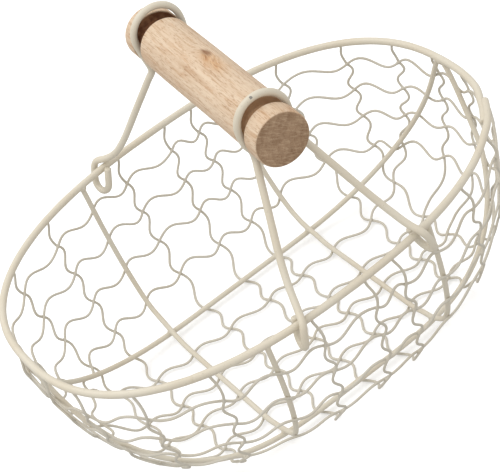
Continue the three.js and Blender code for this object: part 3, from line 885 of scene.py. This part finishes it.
def make_netting():
    outer, inner, floor = netting_layers()
    cross = []
    for x, lean in zip(CROSS_STRAND_X, CROSS_STRAND_LEAN):
        cross.append(cross_line(x, END_STRAND_SHIFT if abs(x) > END_STRANDS_FROM else 0.0, lean, NET_DRIFT))
    ribs = [cross_line(x, aside=aside) for _, x, aside in CROSS_RIBS]
    along = [along_line(y, LONG_STRAND_SPREAD) for y in LONG_STRAND_Y]
    rings = [ring_line(drop) for drop in RING_DROPS]
    long_ribs = [long_rib_line(sign) for sign in (-1, 1)]
    top = RIM_Z - 0.9
    pieces = []

    def add(name, points, closed, seed, joints=()):
        path = evenly(points, 1.1, closed)
        parts = [wire_mesh(smoothed(path, 2, closed), NET_WIRE / 2, 8, closed, seed, 0.035)]
        for k, (place, normal) in enumerate(joints):
            t = np.cross(normal, [0.3, 0.2, 1.0])
            t /= np.linalg.norm(t)
            axes = np.array([t, np.cross(normal, t), normal])
            parts.append(weld_blob(place, axes, np.array(KNOT_WELD), seed * 100 + k))
        piece = make_object(name + "_wire", *join_meshes(parts), net_coat.material)
        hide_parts(name)
        pieces.append(piece)

    middle = (INNER_NET + OUTER_NET) / 2
    for i, line in enumerate(rings):
        marks = crossings(line, cross + ribs + along)
        joints = knots(line, cross, middle) + knots(line, along, middle)
        add(f"net_ring_{i + 1}", waved(line, marks, RING_WAVE, inner, True, 101 + i), True, 101 + i, joints)
    for i, line in enumerate(cross):
        over_ribs = long_ribs if abs(CROSS_STRAND_X[i]) < END_STRANDS_FROM else []
        marks = crossings(line, rings + along + over_ribs)
        joints = knots(line, along, middle)
        strand = below(waved(line, marks, CROSS_WAVE, outer, False, 201 + i), top)
        add(f"net_cross_{i + 1}", strand, False, 201 + i, joints)
    for i, line in enumerate(along):
        marks = crossings(line, rings + cross + ribs)
        strand = below(waved(line, marks, RING_WAVE, floor, False, 301 + i), top)
        add(f"net_long_{i + 1}", strand, False, 301 + i)
    return pieces


# ================= bails =================
def spline(controls, per_span=10):
    """A centripetal Catmull-Rom curve through the control points."""
    points = np.vstack([2 * controls[0] - controls[1], controls, 2 * controls[-1] - controls[-2]])
    made = []
    for i in range(1, len(points) - 2):
        p0, p1, p2, p3 = points[i - 1: i + 3]
        k = [0.0]
        for a, b in ((p0, p1), (p1, p2), (p2, p3)):
            k.append(k[-1] + max(1e-4, np.linalg.norm(b - a)) ** 0.5)
        for t in np.linspace(k[1], k[2], per_span, endpoint=False):
            a1 = (k[1] - t) / (k[1] - k[0]) * p0 + (t - k[0]) / (k[1] - k[0]) * p1
            a2 = (k[2] - t) / (k[2] - k[1]) * p1 + (t - k[1]) / (k[2] - k[1]) * p2
            a3 = (k[3] - t) / (k[3] - k[2]) * p2 + (t - k[2]) / (k[3] - k[2]) * p3
            b1 = (k[2] - t) / (k[2] - k[0]) * a1 + (t - k[0]) / (k[2] - k[0]) * a2
            b2 = (k[3] - t) / (k[3] - k[1]) * a2 + (t - k[1]) / (k[3] - k[1]) * a3
            made.append((k[2] - t) / (k[2] - k[1]) * b1 + (t - k[1]) / (k[2] - k[1]) * b2)
    made.append(controls[-1])
    return np.array(made)


def by_grip(along, across, up):
    """A point near the grip: along its axis, across it and above it, in millimetres."""
    x = GRIP_MIDDLE[0] + math.sin(GRIP_TURN) * along + math.cos(GRIP_TURN) * across
    y = GRIP_MIDDLE[1] + math.cos(GRIP_TURN) * along - math.sin(GRIP_TURN) * across
    return np.array([x, y, GRIP_Z + up])


def bail_leg(out, leg, arch, side):
    """Control points of one leg: hook tip, hook, knee, elbow, neck, throat and shoulder of the arch."""
    rim_at_foot = out * float(rim_y(leg["foot"]))
    shoulder = by_grip(arch["at"], arch["shift"] + side * SHOULDER[0], SHOULDER[1])
    throat = by_grip(arch["at"] - out * arch["neck_in"] / 2, side * THROAT[0], THROAT[1])
    neck = by_grip(arch["at"] - out * arch["neck_in"], side * leg["neck"], -arch["neck_down"])
    lean = (neck[0] - leg["foot"]) / (neck[2] - RIM_Z)

    def at(y, z, turn=0.0):
        rise = z - RIM_Z
        across = lean * rise * (leg["lean"] if rise < 0 else 1)
        across += side * turn * (y + HOOK_INNER)
        return np.array([leg["foot"] + across, rim_at_foot + out * y, z])

    turn = leg["turn"]
    elbow = at(-leg["elbow"][0], RIM_Z + leg["elbow"][1])
    knee = at(-leg["knee"][0], RIM_Z + leg["knee"][1], turn)
    hook_radius = (leg["out"] + HOOK_INNER) / 2
    middle = leg["out"] - hook_radius
    bottom = RIM_Z - leg["depth"] + hook_radius
    tip = RIM_Z + HOOK_TIP
    path = [at(-HOOK_INNER, tip, turn), at(-HOOK_INNER, (tip + bottom) / 2, turn)]
    for i in range(HOOK_STEPS + 1):
        a = math.pi * i / HOOK_STEPS
        path.append(at(middle - hook_radius * math.cos(a), bottom - hook_radius * math.sin(a), turn))
    path.append(at(leg["out"], RIM_Z - 1, turn))
    path.append(at(leg["out"] - KNEE_EASE, RIM_Z + leg["knee"][1] * 0.4, turn))
    path += [knee, elbow + (knee - elbow) * 0.3]
    path += [elbow + (neck - elbow) * share for share in (0.12, 0.55, 0.9)]
    return path + [neck, throat, shoulder]


def make_bail(name, out, legs, arch, material, seed):
    left = bail_leg(out, legs[0], arch, -1)
    right = bail_leg(out, legs[1], arch, 1)
    bow = []
    for i in range(ARCH_STEPS + 1):
        a = math.pi - math.pi * i / ARCH_STEPS
        across = arch["shift"] + ARCH_RADIUS * math.cos(a)
        bow.append(by_grip(arch["at"], across, ARCH_LIFT + ARCH_RADIUS * math.sin(a)))
    path = spline(np.array(left + bow + right[::-1]))
    path = smoothed(evenly(path, 0.9), 4)
    mesh = wire_mesh(path, BAIL_WIRE / 2, 18, False, seed, 0.02, True)
    piece = make_object(name + "_wire", *mesh, material)
    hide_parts(name)
    return piece


# ================= grip =================
def arc_corner(r, z, radius, quadrant, steps=4):
    """Points of a rounded outer corner of the profile, from its side to its end, or back."""
    turn = [math.pi / 2 * i / steps for i in range(steps + 1)]
    sign = 1 if quadrant == "upper" else -1
    points = [(r - radius + radius * math.cos(a), z + sign * (radius * math.sin(a) - radius)) for a in turn]
    return points if quadrant == "upper" else points[::-1]


def groove(low, high):
    """Profile points of one groove, with its edges eased."""
    return (
        arc_corner(GRIP_RADIUS, low, 0.7, "upper")
        + [(GROOVE_RADIUS + 0.5, low + 0.15), (GROOVE_RADIUS, low + 0.7)]
        + [(GROOVE_RADIUS, z) for z in np.linspace(low + 2, high - 2, 5)]
        + [(GROOVE_RADIUS, high - 0.7), (GROOVE_RADIUS + 0.5, high - 0.15)]
        + arc_corner(GRIP_RADIUS, high, 0.7, "lower")
    )


def band(low, high, count):
    return [(GRIP_RADIUS, z) for z in np.linspace(low + 1.5, high - 1.5, count)]


def grip_profile():
    """Radius and place along the axis, from the middle of the front end to the middle of the back end."""
    low, high = GRIP_ENDS
    end = (3.0, 6.0, 9.0, 12.0)
    profile = [(r, low) for r in end] + arc_corner(GRIP_RADIUS, low, END_ROUNDING, "lower")
    profile += band(low, FRONT_GROOVE[0], 6) + groove(*FRONT_GROOVE)
    profile += band(FRONT_GROOVE[1], BACK_GROOVE[0], 48) + groove(*BACK_GROOVE)
    profile += band(BACK_GROOVE[1], high, 6) + arc_corner(GRIP_RADIUS, high, END_ROUNDING, "upper")
    return profile + [(r, high) for r in reversed(end)]


def make_grip(material):
    axis = Vector((math.sin(GRIP_TURN), math.cos(GRIP_TURN), 0))
    up = Vector((0, 0, 1))
    turn = Matrix((up.cross(axis), up, axis)).transposed()
    profile = grip_profile()
    around = 96
    verts = []
    for r, z in profile:
        for k in range(around):
            a = 2 * math.pi * k / around
            swell = 0.10 * math.sin(2 * a + 0.7) + 0.08 * math.sin(z / 17) + 0.05 * math.sin(3 * a + z / 23)
            reach = r + (swell - 0.12 if r > 10 else 0)
            verts.append((reach * math.cos(a), reach * math.sin(a), z))
    faces = []
    for i in range(len(profile) - 1):
        for k in range(around):
            n = (k + 1) % around
            a, b = i * around, (i + 1) * around
            faces.append((a + k, a + n, b + n, b + k))
    first, last = len(verts), len(verts) + 1
    verts += [(0, 0, profile[0][1]), (0, 0, profile[-1][1])]
    top = (len(profile) - 1) * around
    for k in range(around):
        n = (k + 1) % around
        faces.append((first, n, k))
        faces.append((last, top + k, top + n))
    piece = make_object("grip_turned", np.array(verts), faces, material)
    piece.matrix_world = Matrix.Translation(Vector(by_grip(0.0, 0.0, 0.0) * MM)) @ turn.to_4x4()
    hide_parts("grip")
    return piece


# ================= stage =================
FLOOR_SIZE = 6.0
FLOOR_TONES = ((0.88, 0.88, 0.88), (0.90, 0.90, 0.90))
FLOOR_GLOW = 0.22
# the studio's soft light from straight below, level and straight above
SKY_BELOW = 0.52
SKY_LEVEL = 0.78
SKY_ABOVE = 1.12
LAMPS = (
    ("overhead", (-0.5, 0.6, 1.7), 1.6, 9.0),
    ("side", (-1.5, -0.5, 1.1), 1.2, 2.0),
)


def make_floor():
    """A plain white floor; the light that it would throw back comes from the sky's lower half."""
    half = FLOOR_SIZE / 2
    mesh = bpy.data.meshes.new("floor")
    corners = [(-half, -half, 0), (half, -half, 0), (half, half, 0), (-half, half, 0)]
    mesh.from_pydata(corners, [], [(0, 1, 2, 3)])
    n = Nodes("floor_white")
    n.put(n.shader.inputs["Base Color"], n.mix(n.noise(n.place(), 2.0), *FLOOR_TONES))
    n.shader.inputs["Roughness"].default_value = 0.9
    n.shader.inputs["Emission Color"].default_value = (1, 1, 1, 1)
    n.shader.inputs["Emission Strength"].default_value = FLOOR_GLOW
    mesh.materials.append(n.material)
    floor = bpy.data.objects.new("floor", mesh)
    floor.visible_diffuse = False
    floor.visible_glossy = False
    floor.visible_shadow = False
    bpy.context.scene.collection.objects.link(floor)


def make_sky():
    world = bpy.data.worlds.new("studio")
    world.use_nodes = True
    tree = world.node_tree
    sky = tree.nodes["Background"]
    place = tree.nodes.new("ShaderNodeTexCoord")
    apart = tree.nodes.new("ShaderNodeSeparateXYZ")
    tree.links.new(place.outputs["Generated"], apart.inputs[0])
    halves = []
    for low, high in ((SKY_BELOW, SKY_LEVEL), (0.0, SKY_ABOVE - SKY_LEVEL)):
        span = tree.nodes.new("ShaderNodeMapRange")
        tree.links.new(apart.outputs["Z"], span.inputs["Value"])
        span.inputs["From Min"].default_value = -1.0 if not halves else 0.0
        span.inputs["From Max"].default_value = 0.0 if not halves else 1.0
        span.inputs["To Min"].default_value = low
        span.inputs["To Max"].default_value = high
        halves.append(span)
    total = tree.nodes.new("ShaderNodeMath")
    tree.links.new(halves[0].outputs["Result"], total.inputs[0])
    tree.links.new(halves[1].outputs["Result"], total.inputs[1])
    tree.links.new(total.outputs[0], sky.inputs["Strength"])
    sky.inputs["Color"].default_value = (1.0, 1.0, 1.0, 1)
    bpy.context.scene.world = world


def make_lamps():
    for name, place, size, power in LAMPS:
        data = bpy.data.lights.new(name, "AREA")
        data.shape = "DISK"
        data.size = size
        data.energy = power
        lamp = bpy.data.objects.new(name, data)
        lamp.location = place
        aim = Vector((0, 0, 0.08)) - Vector(place)
        lamp.rotation_euler = aim.to_track_quat("-Z", "Y").to_euler()
        bpy.context.scene.collection.objects.link(lamp)


# ================= the whole =================
make_camera()
make_floor()
make_sky()
make_lamps()
bpy.context.scene.view_settings.view_transform = "Standard"
knot_angle = math.radians(16.5)
knot_reach = GRIP_RADIUS * MM
knot_place = (-knot_reach * math.sin(knot_angle), knot_reach * math.cos(knot_angle), 0.0046)
wood = grip_wood([end * MM for end in GRIP_ENDS], knot_place)
front_coat = coated_wire("cream_coat_chipped", *CREAM)
chip_angle = math.radians(96)
chip_lean = BAIL_WIRE / 2 * 0.7
chip_reach = ARCH_RADIUS + chip_lean
chip_across = FRONT_ARCH["shift"] + math.cos(chip_angle) * chip_reach
chip_up = ARCH_LIFT + math.sin(chip_angle) * chip_reach
chip_at = by_grip(FRONT_ARCH["at"] - chip_lean, chip_across, chip_up)
chipped(front_coat, tuple(chip_at * MM), CHIP_SIZE, CHIP_BARE)

for piece in [make_rim()] + make_ribs() + make_netting():
    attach(piece, "basket")
front_bail = make_bail("bail_front", -1, FRONT_LEGS, FRONT_ARCH, front_coat.material, 81)
back_bail = make_bail("bail_back", 1, BACK_LEGS, BACK_ARCH, cream_coat.material, 82)
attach(front_bail, "front_bail")
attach(back_bail, "back_bail")
grip_piece = make_grip(wood)
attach(grip_piece, "grip")
